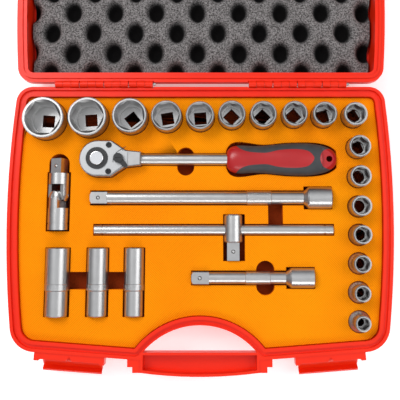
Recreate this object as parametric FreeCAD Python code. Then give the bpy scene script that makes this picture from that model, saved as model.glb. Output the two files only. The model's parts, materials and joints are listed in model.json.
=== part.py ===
import FreeCAD, Part
import math
import os

# Half-inch-drive socket wrench set in a hinged carrying case, shown open and lying flat.
# Millimetres. X runs to the right, Y towards the hinge, Z up. The origin is the centre of
# the tray's underside. Every tool lies in its foam pocket; the lid lies open behind the tray.

V = FreeCAD.Vector
UP = V(0, 0, 1)
os.makedirs("parts", exist_ok=True)

# ---- case
half_width = 200.5            # at the widest point of the bowed sides
widest_y = 21.0
side_bow_radius = 1075.0
rear_y = 140.0
front_corner_y = -131.0
front_mid_y = -140.8
front_mid_half = 60.0         # the front edge is straight across the handle
rear_corner_radius = 17.0
front_corner_radius = 26.0
tray_height = 46.0
lid_height = 34.5
floor_thickness = 2.5
wall = 3.0
rim_width = 10.5
flange_height = 8.0
flange_skin = 2.2
flange_top = 4.5
base_fillet = 4.0
closed_gap = 0.3              # between the two rims when the case is shut
groove_start = 3.4            # from the cavity's edge, outwards
groove_width = 3.8
groove_depth = 3.0
tongue_height = 1.8
tongue_side_gap = 0.7

# ---- handle
grip_opening_radius = 75.6
grip_opening_top_y = -106.5
grip_opening_front_y = -133.2
arch_band = 8.6
bar_half_width = 60.0
bar_end_y = -152.9
bar_mid_y = -156.8
bar_depth = 15.0
bar_wall = 2.5
nub_long = 13.2
nub_short = 8.0
nub_reach = 12.4
nub_height = 8.0

# ---- hinges
hinge_inner_x = 50.6
hinge_units = 4
hinge_unit_length = 26.1
hinge_setback = 2.6           # axis behind the tray's rear edge
knuckle_radius = 3.6
knuckle_gap = 0.3
hinge_notch_gap = 0.4
hinge_pin_radius = 1.4
running_gap = 0.05            # radial, where one piece turns or slides on another
pin_tip = 2.5

# ---- latches
latch_x = 131.7
latch_width = 61.4
latch_end_gap = 0.4
lug_width = 4.5
latch_pivot_out = 5.0         # in front of the rim's edge
latch_pivot_drop = 12.0       # below the tray's rim
latch_barrel_radius = 3.2
latch_pin_radius = 1.2
latch_plate = 2.5
latch_hook_gap = 0.3
latch_hook_height = 2.9
latch_hook_reach = 7.7
latch_open_deg = 142.0
ledge_reach = 6.5
ledge_thickness = 4.0
ledge_rise = 6.0              # above the latch's pin
catch_reach = 6.0
catch_height = 5.8
plate_gap = 0.7

# ---- foam
foam_side_gap = 0.3
foam_split_z = 28.0           # the orange sheet lies on the darker block here
foam_top_z = 41.0
skin_thickness = 0.8          # the embossed face of the orange sheet
lid_foam_thickness = 16.0
lid_foam_side_gap = 2.5
seat_gap = 0.3                # between a tool and the foam that it lies on
pocket_gap = 0.4
loose_pocket_gap = 1.3        # round the jointed tools
bed_z = foam_split_z + seat_gap

# ---- half-inch square drive
drive_male = 12.7
drive_female = 12.9
drive_female_depth = 16.0
drive_ball_radius = 2.0
ball_proud = 1.0
hex_gap = 0.2

# ---- short sockets: size, x, y, nose diameter, drive-end diameter, length, turn
socket_rim_z = 61.0
short_sockets = [
    (32, -163.6, 104.8, 43.0, 43.0, 44.0, -3),
    (30, -117.8, 105.9, 40.4, 40.4, 44.0, 4),
    (27, -73.7, 107.0, 36.2, 36.2, 44.0, 38),
    (24, -35.4, 106.8, 31.6, 31.6, 38.0, 10),
    (22, -0.4, 107.0, 29.4, 29.4, 38.0, 5),
    (21, 32.8, 108.4, 28.2, 28.2, 38.0, 45),
    (20, 65.7, 108.4, 27.4, 27.4, 38.0, 45),
    (19, 98.5, 109.0, 26.2, 26.2, 38.0, 40),
    (18, 129.6, 108.8, 25.2, 25.2, 38.0, 15),
    (17, 161.4, 108.6, 24.6, 24.6, 38.0, 30),
    (16, 164.9, 74.9, 22.6, 22.6, 38.0, 20),
    (15, 164.9, 44.0, 21.8, 21.8, 38.0, 50),
    (14, 164.9, 13.4, 20.8, 22.0, 38.0, 8),
    (13, 164.9, -15.8, 19.2, 22.0, 38.0, 35),
    (12, 164.0, -45.1, 17.8, 22.0, 38.0, 12),
    (11, 163.2, -74.3, 16.8, 22.0, 38.0, 25),
    (10, 162.8, -103.6, 15.8, 22.0, 38.0, 42),
]
drive_end_share = 17.0        # height of the wider drive end
step_height = 3.0
hex_depth_share = 0.48
socket_lift = 60.0

# ---- deep sockets, lying: size, x, diameter
deep_sockets = [(17, -147.2, 24.5), (16, -105.9, 21.9), (14, -68.1, 20.6)]
deep_rear_y = -29.4
deep_length = 69.0
deep_band_y = -69.0
deep_band_width = 5.8
deep_band_proud = 0.35
deep_waist = 0.6

# ---- extensions, lying along X: left end, axis y, length, shaft, female end, knurl start
long_extension = (-115.0, 22.4, 252.0, 13.6, 22.9, 163.2)
short_extension = (-8.9, -59.8, 126.5, 12.9, 21.1, 55.3)
knurl_length = 26.0
knurl_proud = 0.5
male_length = 17.0
female_end_length = 25.5
female_taper = 3.0
female_neck = 16.0

# ---- sliding T-bar
t_bar_left = -110.9
t_bar_y = -10.7
t_bar_length = 249.5
t_bar_radius = 5.55
slider_x = 34.1
slider_radius = 9.85
slider_rear_y = 4.9
slider_front_y = -23.9
t_drive_front_y = -42.2
slider_bore_gap = 0.06
slider_plug_radius = 2.5
slider_ball_radius = 2.1
slider_spring_length = 4.3    # from the ball's centre
slider_spring_radius = 1.8
slider_spring_bore = 1.2
slider_pocket_gap = 2.2       # the slider runs this far sideways before it clears the foam

# ---- universal joint
uj_x = -148.6
uj_rear_y = 63.7
uj_collar_y = 48.0
uj_cross_y = 24.1
uj_front_y = -10.9
uj_radius = 10.9
uj_roll_deg = 25.0
uj_ear = 5.2                  # thickness of each ear
uj_ear_gap = 0.4              # between one yoke's ears and the other's
uj_block = 10.4
uj_pin_radius = 2.4
uj_throat = 12.4              # from the cross's centre to the yoke's root
uj_pocket_end = 4.8           # the pocket's round end reaches this far past the shank

# ---- ratchet
ratchet_y = 62.8
head_x = -107.2
head_radius = 18.7
head_thick = 25.0
head_shoulder_x = -93.0
neck_x = -62.0
shaft_radius = 6.2
tang_radius = shaft_radius - 1.4
grip_start_x = 27.6
grip_end_x = 142.6
grip_half_width = 17.2
grip_half_height = 12.5
cover_thickness = 1.5
cover_inset = 1.6
gear_radius = 12.6
gear_height = 14.0
gear_teeth = 30
gear_tooth_depth = 1.1
gear_side_gap = 0.8
journal_radius = 9.2
head_floor = 5.0
anvil_length = 15.5
button_radius = 7.1
button_proud = 3.2
button_travel = 2.0
button_stem_radius = 2.3
bezel_outer_radius = gear_radius - 1.2
bezel_height = 1.0
lever_x = -84.8
lever_hub_radius = 5.0
lever_shaft_radius = 2.2
lever_height = 3.6
lever_rest_deg = -47.0
lever_reach = 14.4
cover_screw_x = -95.1
cover_screw_offset = 13.8
cover_screw_radius = 3.0
hang_hole_x = 134.8
hang_hole_radius = 3.3
grip_tip_half_height = 7.0
grip_spine_radius = 8.0       # the core round the tang, under the overmould
grip_tip_radius = 10.8        # the core's bare disc round the hang hole
grip_tip_x = 135.5
grip_tip_flat_x = 126.8       # where the thinner tip begins
# The bare panel down the middle of the grip: distance along it, half width.
grip_panel = [(8.0, 17.5), (14.0, 10.5), (21.4, 7.5), (33.9, 6.1), (42.1, 6.1), (50.4, 8.0),
              (62.4, 9.6), (70.9, 9.8), (79.1, 9.2), (85.7, 7.1), (89.4, 3.4)]
grip_panel_end = 90.8
grip_collar_length = 10.0     # lengths of the pocket's cuts at the grip's two ends
grip_tip_length = 12.0
pawl_half_length = 5.0
pawl_gap = 0.9
pawl_tilt_deg = 4.0
pawl_pin_radius = 1.0

# ---- finger recesses in the foam: where a hand gets under the tools
ratchet_recess_x = -15.7
ratchet_recess_reach = (-16.8, 12.6)
finger_recess_width = 17.6
short_recess_x = 67.1
short_recess_reach = 17.3
short_recess_width = 18.6
bar_recess_x = (70.8, 85.9)    # between the long extension and the T-bar
deep_recess_y = (-71.2, -53.8)

# ---- where the foam is cut: through the middle of each pocket, so that no piece of foam
# closes a pocket when it is taken as a convex shape
far = 2 * half_width
rear_row_y = 107.0
rear_row_front_y = 84.0
column_x = 164.2
column_left_x = 148.0
left_column_x = -131.2
middle_x = -52.0
arch_half = 66.5
arch_quarter = 30.0
block_front_y = -95.0
in_pocket = 0.2               # a cut beside a pocket's wall lies this far inside the pocket
ratchet_recess_half = 6.5
short_recess_half = 6.5


# ================================================================ helpers
def box(x0, x1, y0, y1, z0, z1):
    return Part.makeBox(x1 - x0, y1 - y0, z1 - z0, V(x0, y0, z0))


def rod(x, y, z0, z1, radius):
    return Part.makeCylinder(radius, z1 - z0, V(x, y, z0), UP)


def rod_x(x0, x1, y, z, radius):
    return Part.makeCylinder(radius, x1 - x0, V(x0, y, z), V(1, 0, 0))


def rod_y(x, y0, y1, z, radius):
    return Part.makeCylinder(radius, y1 - y0, V(x, y0, z), V(0, 1, 0))


def prism(face, z0, z1):
    moved = face.copy()
    moved.translate(V(0, 0, z0))
    return moved.extrude(V(0, 0, z1 - z0))


def disc(x, y, radius):
    return Part.Face(Part.Wire(Part.makeCircle(radius, V(x, y, 0), UP)))


def polygon(points):
    return Part.Face(Part.makePolygon([V(x, y, 0) for x, y in points + points[:1]]))


def grown(face, distance):
    return face.makeOffset2D(distance)


def stadium(x, y0, y1, width):
    """A slot with round ends, running along Y."""
    r = width / 2
    middle = polygon([(x - r, y0 + r), (x + r, y0 + r), (x + r, y1 - r), (x - r, y1 - r)])
    return middle.fuse([disc(x, y0 + r, r), disc(x, y1 - r, r)]).removeSplitter().Faces[0]


def hexagon(across_flats, turn_deg):
    r = across_flats / math.sqrt(3)
    corner = [math.radians(turn_deg + 60 * i) for i in range(6)]
    return polygon([(r * math.cos(a), r * math.sin(a)) for a in corner])


def square(side, turn_deg=0.0):
    r = side / math.sqrt(2)
    corner = [math.radians(turn_deg + 45 + 90 * i) for i in range(4)]
    return polygon([(r * math.cos(a), r * math.sin(a)) for a in corner])


def revolved(profile):
    """A solid of revolution round Z from (radius, z) points; it closes along the axis."""
    points = [V(0, 0, profile[0][1])] + [V(r, 0, z) for r, z in profile]
    points += [V(0, 0, profile[-1][1]), V(0, 0, profile[0][1])]
    return Part.Face(Part.makePolygon(points)).revolve(V(0, 0, 0), UP, 360)


def save(name, shape):
    shape.exportStep("parts/%s.step" % name)


# ================================================================ case outlines
def side_x(y):
    return half_width - (y - widest_y) ** 2 / (2 * side_bow_radius)


def case_outline():
    xr, xf = side_x(rear_y), side_x(front_corner_y)
    right = Part.Arc(V(xr, rear_y, 0), V(half_width, widest_y, 0), V(xf, front_corner_y, 0))
    left = Part.Arc(V(-xf, front_corner_y, 0), V(-half_width, widest_y, 0), V(-xr, rear_y, 0))
    front = [(xf, front_corner_y), (front_mid_half, front_mid_y),
             (-front_mid_half, front_mid_y), (-xf, front_corner_y)]
    lines = [Part.makeLine(V(*a, 0), V(*b, 0)) for a, b in zip(front, front[1:])]
    rear = Part.makeLine(V(-xr, rear_y, 0), V(xr, rear_y, 0))
    wire = Part.Wire([right.toShape()] + lines + [left.toShape(), rear])
    block = Part.Face(wire).extrude(UP)
    for y, radius in ((rear_y, rear_corner_radius), (front_corner_y, front_corner_radius)):
        corners = [e for e in block.Edges if abs(e.BoundBox.ZLength - 1) < 0.01
                   and e.BoundBox.XLength < 0.01 and abs(e.Vertexes[0].Y - y) < 0.01]
        block = block.makeFillet(radius, corners)
    bottom = min(block.Faces, key=lambda f: f.CenterOfMass.z)
    return Part.Face(bottom.OuterWire)


grip_centre_y = grip_opening_top_y - grip_opening_radius
outline = case_outline()
cavity = grown(outline, -rim_width).cut(
    disc(0, grip_centre_y, grip_opening_radius + arch_band)).Faces[0]
body_outline = grown(cavity, wall)
groove_ring = grown(cavity, groove_start + groove_width).cut(grown(cavity, groove_start))
tongue_ring = grown(cavity, groove_start + groove_width - tongue_side_gap).cut(
    grown(cavity, groove_start + tongue_side_gap))
opening_limit = polygon([(-half_width, grip_opening_front_y), (half_width, grip_opening_front_y),
                         (half_width, 0), (-half_width, 0)])
grip_opening = disc(0, grip_centre_y, grip_opening_radius).common(opening_limit)

latch_pivot_z = tray_height - latch_pivot_drop
hinge_y = rear_y + hinge_setback
hinge_z = tray_height + closed_gap / 2
hinge_length = hinge_units * hinge_unit_length
hinge_starts = (-hinge_inner_x - hinge_length, hinge_inner_x)


def bar_face(inset):
    side = bar_half_width - inset
    line = Part.makeLine
    a, b = V(-side, grip_opening_front_y - inset, 0), V(-side, bar_end_y + inset, 0)
    c, d = V(side, bar_end_y + inset, 0), V(side, grip_opening_front_y - inset, 0)
    outer = Part.Arc(b, V(0, bar_mid_y + inset, 0), c).toShape()
    return Part.Face(Part.Wire([line(a, b), outer, line(c, d), line(d, a)]))


def case_body(height):
    body = prism(body_outline, 0, height - 0.5)
    return body.makeFillet(base_fillet, [e for e in body.Edges if e.BoundBox.ZMax < 0.01])


def turned_over(shape, height):
    """Carry one half of the case, standing on its outer face, to the closed lid's place."""
    lid = shape.mirror(V(0, 0, 0), UP)
    lid.translate(V(0, 0, tray_height + closed_gap + height))
    return lid


def case_half(height):
    """One half of the case, standing on its outer face, with its rim at the given height."""
    flange_z = height - flange_height
    flange = prism(outline, flange_z, height)
    relief_top = height - flange_top
    relief = prism(grown(outline, -flange_skin).cut(
        disc(0, grip_centre_y, grip_opening_radius + flange_skin)), flange_z, relief_top)
    flange = flange.cut(relief)
    half = flange.fuse([case_body(height), prism(bar_face(0), height - bar_depth, height)])
    for side in (-1, 1):
        for length, reach in ((nub_long, nub_reach * 0.55), (nub_short, nub_reach)):
            x0, x1 = sorted((side * (bar_half_width - 1), side * (bar_half_width + length)))
            half = half.fuse(box(x0, x1, front_mid_y - reach, front_mid_y + 3,
                                 height - nub_height, height - 1.5))
    half = half.cut(prism(cavity, floor_thickness, height))
    half = half.cut(prism(bar_face(bar_wall), height - bar_depth + bar_wall, height))
    half = half.cut(prism(grip_opening, 0, height))
    for start in hinge_starts:
        half = half.cut(rod_x(start - hinge_notch_gap, start + hinge_length + hinge_notch_gap,
                              hinge_y, height + closed_gap / 2, knuckle_radius + hinge_notch_gap))
    return half


def knuckles(which, web_z):
    """Hinge knuckles of the tray (the middle third of each unit) or of the lid (the rest)."""
    third = hinge_unit_length / 3
    pieces = []
    for start in hinge_starts:
        for unit in range(hinge_units):
            for slot in ((1,) if which == "tray" else (0, 2)):
                x0 = start + unit * hinge_unit_length + slot * third + knuckle_gap / 2
                x1 = x0 + third - knuckle_gap
                if slot == 0:
                    x0 += knuckle_gap
                if slot == 2:
                    x1 -= knuckle_gap
                pieces.append(rod_x(x0, x1, hinge_y, hinge_z, knuckle_radius))
                pieces.append(box(x0, x1, rear_y - knuckle_radius - 1, hinge_y, *web_z))
    return pieces


def knuckle_bores(radius):
    return [rod_x(start - 1, start + hinge_length + 1, hinge_y, hinge_z, radius)
            for start in hinge_starts]


def at_latch(shape, side):
    """Carry a shape drawn at the origin, facing -Y, to the left (-1) or right (1) latch."""
    run = side_x(front_corner_y) - front_mid_half
    slope = (front_corner_y - front_mid_y) / run
    edge_y = front_mid_y + (latch_x - front_mid_half) * slope
    moved = shape.copy()
    moved.rotate(V(0, 0, 0), UP, side * math.degrees(math.atan(slope)))
    moved.translate(V(side * latch_x, edge_y, 0))
    return moved


lug_inner = latch_width / 2 + latch_end_gap
lug_outer = lug_inner + lug_width


def latch_ledge():
    ledge = box(-lug_outer, lug_outer, -ledge_reach, 1.5,
                latch_pivot_z + ledge_rise, latch_pivot_z + ledge_rise + ledge_thickness)
    notch = prism(polygon([(-4, -ledge_reach - 1), (4, -ledge_reach - 1), (0, -2.5)]),
                  latch_pivot_z + ledge_rise, latch_pivot_z + ledge_rise + ledge_thickness)
    ledge = ledge.cut(notch)
    for side in (-1, 1):
        x0, x1 = sorted((side * lug_inner, side * lug_outer))
        ledge = ledge.fuse(box(x0, x1, -latch_pivot_out - latch_barrel_radius, 1.5,
                               latch_pivot_z - latch_barrel_radius - 0.5,
                               latch_pivot_z + ledge_rise + ledge_thickness))
    return ledge.cut(rod_x(-lug_outer, lug_outer, -latch_pivot_out, latch_pivot_z,
                           latch_pin_radius))


catch_top = tray_height + closed_gap + flange_height


def lid_catch():
    half = latch_width / 2 - 1
    return box(-half, half, -catch_reach, 1.5, catch_top - catch_height, catch_top)


def latch_flap():
    """A latch in its closed place, as drawn at the origin."""
    half = latch_width / 2
    inner = ledge_reach + plate_gap
    outer = inner + latch_plate
    hook_z = catch_top + latch_hook_gap
    top = hook_z + latch_hook_height
    y, z = -latch_pivot_out, latch_pivot_z
    flap = rod_x(-half, half, y, z, latch_barrel_radius)
    flap = flap.fuse([box(-half, half, -outer, y, z, z + latch_barrel_radius),
                      box(-half, half, -outer, -inner, z, top),
                      box(-half, half, -outer, -outer + latch_hook_reach, hook_z, top),
                      box(-half, half, -outer - 1.2, -outer + 0.5, top - 6, top)])
    flap = flap.removeSplitter()
    flap = flap.cut(box(-half * 0.62, half * 0.62, -outer - 1, -outer + 0.8, z + 8, top - 9))
    return flap.cut(rod_x(-half, half, y, z, latch_pin_radius + running_gap))


def opened(shape, degrees):
    """Turn a piece of the closed lid about the hinge, back to where it lies when open."""
    moved = shape.copy()
    moved.rotate(V(0, hinge_y, hinge_z), V(1, 0, 0), -degrees)
    return moved


def resting_angle():
    """The angle at which the opened lid's far edge meets the surface that the tray is on."""
    body = turned_over(case_body(lid_height), lid_height)
    low, high = 180.0, 190.0
    for _ in range(14):
        middle = (low + high) / 2
        if opened(body, middle).optimalBoundingBox().ZMin > 0:
            low = middle
        else:
            high = middle
    return low


def make_case():
    tray = case_half(tray_height)
    tray = tray.fuse(knuckles("tray", (hinge_z - knuckle_radius, tray_height)))
    tray = tray.cut(knuckle_bores(hinge_pin_radius))
    tray = tray.cut(prism(groove_ring, tray_height - groove_depth, tray_height))
    tray = tray.fuse([at_latch(latch_ledge(), side) for side in (-1, 1)]).removeSplitter()
    save("tray_shell", tray)

    lid = turned_over(case_half(lid_height), lid_height)
    rim = tray_height + closed_gap
    lid = lid.fuse(knuckles("lid", (rim, hinge_z + knuckle_radius)))
    lid = lid.cut(knuckle_bores(hinge_pin_radius + running_gap))
    tongue = prism(tongue_ring, rim - tongue_height, rim + 1)
    lid = lid.fuse([tongue] + [at_latch(lid_catch(), side) for side in (-1, 1)])
    lid = lid.removeSplitter()
    angle = resting_angle()
    save("lid_shell", opened(lid, angle))

    ceiling = rim + lid_height - floor_thickness
    pad = prism(grown(cavity, -lid_foam_side_gap), ceiling - lid_foam_thickness, ceiling)
    save("lid_foam", opened(pad, angle))

    pins = [rod_x(s + knuckle_gap, s + hinge_length + pin_tip, hinge_y, hinge_z,
                  hinge_pin_radius) for s in hinge_starts]
    save("hinge_pins", Part.Compound(pins))
    pin = rod_x(-lug_outer, lug_outer, -latch_pivot_out, latch_pivot_z, latch_pin_radius)
    save("latch_pins", Part.Compound([at_latch(pin, side) for side in (-1, 1)]))
    for side, name in ((-1, "latch_left"), (1, "latch_right")):
        flap = latch_flap()
        flap.rotate(V(0, -latch_pivot_out, latch_pivot_z), V(1, 0, 0), latch_open_deg)
        save(name, at_latch(flap, side))
    print("lid angle", round(angle, 3))


# ================================================================ sockets
def socket_solid(size, nose_d, drive_d, length, turn):
    """A socket standing on its drive end at z = 0, with the hexagon facing up."""
    nose, drive = nose_d / 2, drive_d / 2
    profile = [(drive - 0.6, 0), (drive, 0.6)]
    if drive > nose:
        profile += [(drive, drive_end_share), (nose, drive_end_share + step_height)]
    else:
        profile += [(drive, 3.0), (drive - 0.4, 3.4), (drive - 0.4, 4.2), (drive, 4.6)]
    profile += [(nose, length - 0.9), (nose - 0.9, length)]
    hex_depth = length * hex_depth_share
    flats = size + hex_gap
    mouth = flats / math.sqrt(3) + 0.25
    blank = revolved(profile)
    bevel = Part.makeCone(flats / 2 - 0.3, mouth, mouth - flats / 2 + 0.3,
                          V(0, 0, length - (mouth - flats / 2 + 0.3)), UP)
    cuts = [prism(hexagon(flats, turn), length - hex_depth, length), bevel,
            rod(0, 0, drive_female_depth - 1, length - hex_depth + 0.5, size / 2 - 0.8),
            prism(square(drive_female, turn), 0, drive_female_depth)]
    return blank.cut(cuts)


def make_short_sockets():
    for size, x, y, nose_d, drive_d, length, turn in short_sockets:
        piece = socket_solid(size, nose_d, drive_d, length, turn)
        piece.translate(V(x, y, socket_rim_z - length))
        save("socket_%d" % size, piece)


def make_deep_sockets():
    """Each lies along Y with its drive end towards the hinge, its band near the middle."""
    for size, x, diameter in deep_sockets:
        r = diameter / 2
        band = deep_rear_y - deep_band_y - deep_band_width / 2
        profile = [(r - 0.6, 0), (r, 0.6), (r, band - 0.4), (r + deep_band_proud, band),
                   (r + deep_band_proud, band + deep_band_width),
                   (r - deep_waist, band + deep_band_width + 1),
                   (r - deep_waist, deep_length - 0.9), (r - deep_waist - 0.9, deep_length)]
        flats = size + hex_gap
        cuts = [prism(hexagon(flats, 0), deep_length * 0.62, deep_length),
                rod(0, 0, drive_female_depth - 1, deep_length * 0.62 + 0.5, size / 2 - 0.4),
                prism(square(drive_female), 0, drive_female_depth)]
        piece = revolved(profile).cut(cuts)
        piece.rotate(V(0, 0, 0), V(1, 0, 0), 90)
        piece.translate(V(x, deep_rear_y, bed_z + r + deep_band_proud))
        save("deep_socket_%d" % size, piece)


# ================================================================ extensions
def ball_hole(x, y, z, direction):
    """The blind hole that a drive square's detent ball sits in."""
    start = V(x, y, z) + direction * (drive_male / 2 - 2 * drive_ball_radius - 1)
    return Part.makeCylinder(drive_ball_radius + running_gap, 2 * drive_ball_radius + 2,
                             start, direction)


def detent_ball(x, y, z, direction):
    centre = V(x, y, z) + direction * (drive_male / 2 + ball_proud - drive_ball_radius)
    return Part.makeSphere(drive_ball_radius, centre)


def extension_bar(left_x, y, length, shaft_d, female_d, knurl_start):
    """An extension drawn along Z from its drive square, then laid along X."""
    r, rf = shaft_d / 2, female_d / 2
    female_z = length - female_end_length
    knurl_end = knurl_start + knurl_length
    profile = [(r - 0.5, male_length), (r, male_length + 0.5), (r, knurl_start),
               (r + knurl_proud, knurl_start + 0.5), (r + knurl_proud, knurl_end - 0.5),
               (r, knurl_end), (r, female_z - female_neck / 4), (rf - 1, female_z),
               (rf, female_z + 1.5), (rf, length - 0.8), (rf - 0.8, length)]
    shank = prism(square(drive_male), 0, male_length + 1)
    shank = shank.common(revolved([(drive_male / 2 + 0.6, 0), (drive_male / 2 + 2.2, 1.6),
                                   (drive_male / 2 + 2.2, male_length + 1)]))
    bar = revolved(profile).fuse(shank).cut(prism(square(drive_female),
                                                  length - drive_female_depth, length))
    bar.rotate(V(0, 0, 0), V(0, 1, 0), 90)
    z = bed_z + rf
    bar.translate(V(left_x, y, z))
    ball_x = left_x + male_length / 2
    return bar.cut(ball_hole(ball_x, y, z, UP)), detent_ball(ball_x, y, z, UP)


def make_extensions():
    for name, dims in (("long", long_extension), ("short", short_extension)):
        bar, ball = extension_bar(*dims)
        save("extension_%s" % name, bar)
        save("extension_%s_ball" % name, ball)


# ================================================================ sliding T-bar
def make_t_bar():
    z = bed_z + slider_radius
    right = t_bar_left + t_bar_length
    bar = rod_x(t_bar_left, right, t_bar_y, z, t_bar_radius)
    ends = [e for e in bar.Edges if e.BoundBox.XLength < 0.01]
    bar = bar.makeChamfer(0.8, ends)
    for x in (t_bar_left + 9, right - 9):
        ring = rod_x(x - 0.8, x + 0.8, t_bar_y, z, t_bar_radius)
        bar = bar.cut(ring.cut(rod_x(x - 1, x + 1, t_bar_y, z, t_bar_radius - 0.5)))
    save("t_bar_rod", bar)

    slider = rod_y(slider_x, slider_front_y, slider_rear_y, z, slider_radius)
    slider = slider.makeChamfer(1.2, [e for e in slider.Edges if e.BoundBox.YLength < 0.01])
    half = drive_male / 2
    slider = slider.fuse(box(slider_x - half, slider_x + half, t_drive_front_y,
                             slider_front_y + 2, z - half, z + half))
    slider = slider.cut(rod_x(slider_x - slider_radius, slider_x + slider_radius, t_bar_y, z,
                              t_bar_radius + slider_bore_gap))
    plug_y = t_bar_y + t_bar_radius + slider_bore_gap
    slider = slider.cut(rod_y(slider_x, plug_y - 1, slider_rear_y, z, slider_plug_radius))
    ball_y = (t_drive_front_y + slider_front_y) / 2
    save("t_bar_slider", slider.cut(ball_hole(slider_x, ball_y, z, UP)))
    save("t_bar_ball", detent_ball(slider_x, ball_y, z, UP))
    detent_y = plug_y + slider_ball_radius
    spring_end_y = detent_y + slider_spring_length
    plug = rod_y(slider_x, spring_end_y, slider_rear_y - 0.3, z, slider_plug_radius)
    save("slider_plug", plug)
    save("slider_detent_ball", Part.makeSphere(slider_ball_radius, V(slider_x, detent_y, z)))
    spring = rod_y(slider_x, detent_y + slider_ball_radius, spring_end_y, z,
                   slider_spring_radius)
    bore = rod_y(slider_x, detent_y, spring_end_y + 1, z, slider_spring_bore)
    save("slider_detent_spring", spring.cut(bore))


# ================================================================ universal joint
def yoke():
    """A yoke drawn along Z: the cross is at the origin, its pin runs along X, root below."""
    gap = uj_radius - uj_ear
    half_ear = gap - uj_ear_gap
    blank = revolved([(uj_radius, -uj_throat - 6), (uj_radius, 0),
                      (uj_radius - 2, half_ear)])
    slot = box(-gap, gap, -uj_radius - 1, uj_radius + 1, -uj_throat, half_ear + 1)
    blank = blank.cut([slot, rod_x(-uj_radius, uj_radius, 0, 0, uj_pin_radius + running_gap)])
    ears = box(-uj_radius, uj_radius, -half_ear, half_ear, -uj_throat - 1, 0)
    ears = ears.fuse(rod_x(-uj_radius, uj_radius, 0, 0, half_ear))
    root = rod(0, 0, -uj_throat - 6, -uj_throat, uj_radius)
    return blank.common(ears.fuse(root))


def make_universal_joint():
    z = bed_z + uj_radius
    length = uj_cross_y - uj_front_y
    tail = rod(0, 0, -length, -uj_throat - 5, uj_radius)
    tail = tail.cut(rod(0, 0, -length + 6, -length + 7.2, uj_radius)).fuse(
        rod(0, 0, -length + 5, -length + 8, uj_radius - 0.5))
    female = prism(square(drive_female), -length, -length + drive_female_depth)
    socket_yoke = yoke().fuse(tail).cut(female)

    shank_end = uj_rear_y - uj_cross_y
    collar = uj_collar_y - uj_cross_y
    half = drive_male / 2
    drive_yoke = yoke()
    drive_yoke = drive_yoke.fuse([rod(0, 0, -collar, -uj_throat - 5, uj_radius),
                                  box(-half, half, -half, half, -shank_end, -collar + 1)])
    ball_at = (shank_end + collar) / 2
    drive_yoke = drive_yoke.cut(ball_hole(0, 0, -ball_at, V(0, 1, 0)))
    ball = detent_ball(0, 0, -ball_at, V(0, 1, 0))

    half_block = uj_block / 2
    block = box(-half_block, half_block, -half_block, half_block, -half_block, half_block)
    block = block.cut([rod_x(-half_block, half_block, 0, 0, uj_pin_radius),
                       rod_y(0, -half_block, half_block, 0, uj_pin_radius)])
    reach = uj_radius - 0.6
    long_pin = rod_y(0, -reach, reach, 0, uj_pin_radius)
    short_pins = [rod_x(-reach, -uj_pin_radius - 0.1, 0, 0, uj_pin_radius),
                  rod_x(uj_pin_radius + 0.1, reach, 0, 0, uj_pin_radius)]

    def lay(shape, turn_over, roll):
        """Swing a Z-drawn shape to lie along Y, rolled about its own axis."""
        moved = shape.copy()
        moved.rotate(V(0, 0, 0), UP, roll)
        moved.rotate(V(0, 0, 0), V(1, 0, 0), 90 if turn_over else -90)
        moved.translate(V(uj_x, uj_cross_y, z))
        return moved

    # drawn pins run along X; rolled so that the drive yoke's pin lies uj_roll_deg above level
    save("uj_drive_yoke", lay(drive_yoke, True, uj_roll_deg))
    save("uj_ball", lay(ball, True, uj_roll_deg))
    save("uj_socket_yoke", lay(socket_yoke, False, 90 - uj_roll_deg))
    save("uj_cross", lay(block, True, uj_roll_deg))
    save("uj_pins", lay(Part.Compound([long_pin] + short_pins), True, uj_roll_deg))


# ================================================================ ratchet
ratchet_z = bed_z + head_thick / 2
head_bottom = bed_z
head_top = bed_z + head_thick
gear_z = head_bottom + head_floor + 0.3


def head_face(inset):
    """The head's outline: a round end blending into the neck."""
    r = head_radius - inset
    neck = shaft_radius + 0.8 - inset
    ring = disc(head_x, ratchet_y, r)
    x0, x1 = head_x, neck_x - inset
    taper = polygon([(x0, ratchet_y - r), (head_shoulder_x, ratchet_y - r),
                     (x1 - 16, ratchet_y - neck - 1.6), (x1, ratchet_y - neck),
                     (x1, ratchet_y + neck), (x1 - 16, ratchet_y + neck + 1.6),
                     (head_shoulder_x, ratchet_y + r), (x0, ratchet_y + r)])
    return ring.fuse(taper).removeSplitter().Faces[0]


def gear_profile():
    points = []
    for i in range(2 * gear_teeth):
        r = gear_radius - (gear_tooth_depth if i % 2 else 0)
        a = math.pi * i / gear_teeth
        points.append((head_x + r * math.cos(a), ratchet_y + r * math.sin(a)))
    return polygon(points)


def grip_solid():
    """The grip: oval sections along X, each a share of the widest one."""
    length = grip_end_x - grip_start_x
    stations = [(0, 0.44), (0.05, 0.79), (0.22, 0.84), (0.42, 0.9), (0.62, 1.0), (0.8, 0.95),
                (0.93, 0.72), (1.0, 0.30)]
    sections = []
    for along, share in stations:
        centre = V(grip_start_x + along * length, ratchet_y, ratchet_z)
        oval = Part.Ellipse(centre + V(0, share * grip_half_width, 0),
                            centre + V(0, 0, share * grip_half_height), centre)
        sections.append(Part.Wire(oval.toShape()))
    return Part.makeLoft(sections, True, False)


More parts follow.
